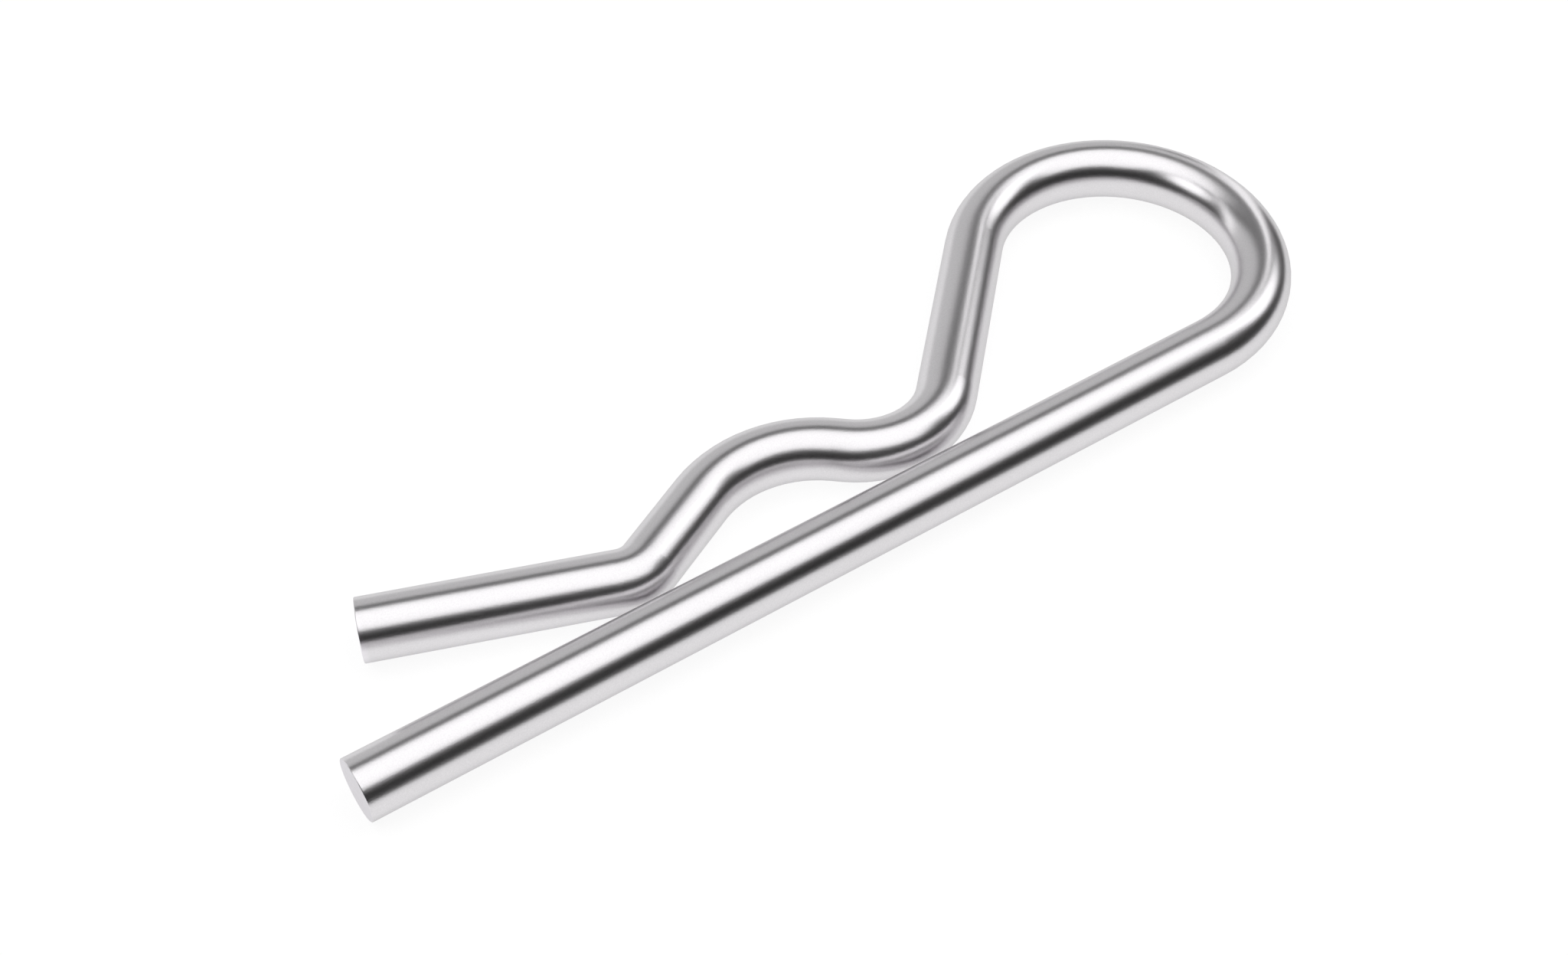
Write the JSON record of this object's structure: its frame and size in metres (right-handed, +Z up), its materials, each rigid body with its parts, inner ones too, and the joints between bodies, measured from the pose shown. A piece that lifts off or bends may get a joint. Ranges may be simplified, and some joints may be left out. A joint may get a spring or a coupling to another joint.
{
  "type": "hitch pin r clip",
  "caption": "R-shaped spring-wire clip: its straight leg goes through a cross hole in a pin, its waved arm springs over the pin to hold it there, and its round loop is the pull.",
  "frame": {"origin": "under the middle of the clip's outline, on the surface it lies flat on", "axes": "+X along the straight leg, from its free tip to the pull loop; +Y from the leg to the waved arm; +Z up, square to the plane in which the wire is bent"},
  "size_m": [0.0925, 0.0294, 0.005],
  "materials": {
    "spring_wire": "satin"
  },
  "bodies": {
    "root": {"r_clip": "spring_wire"}
  },
  "joints": []
}
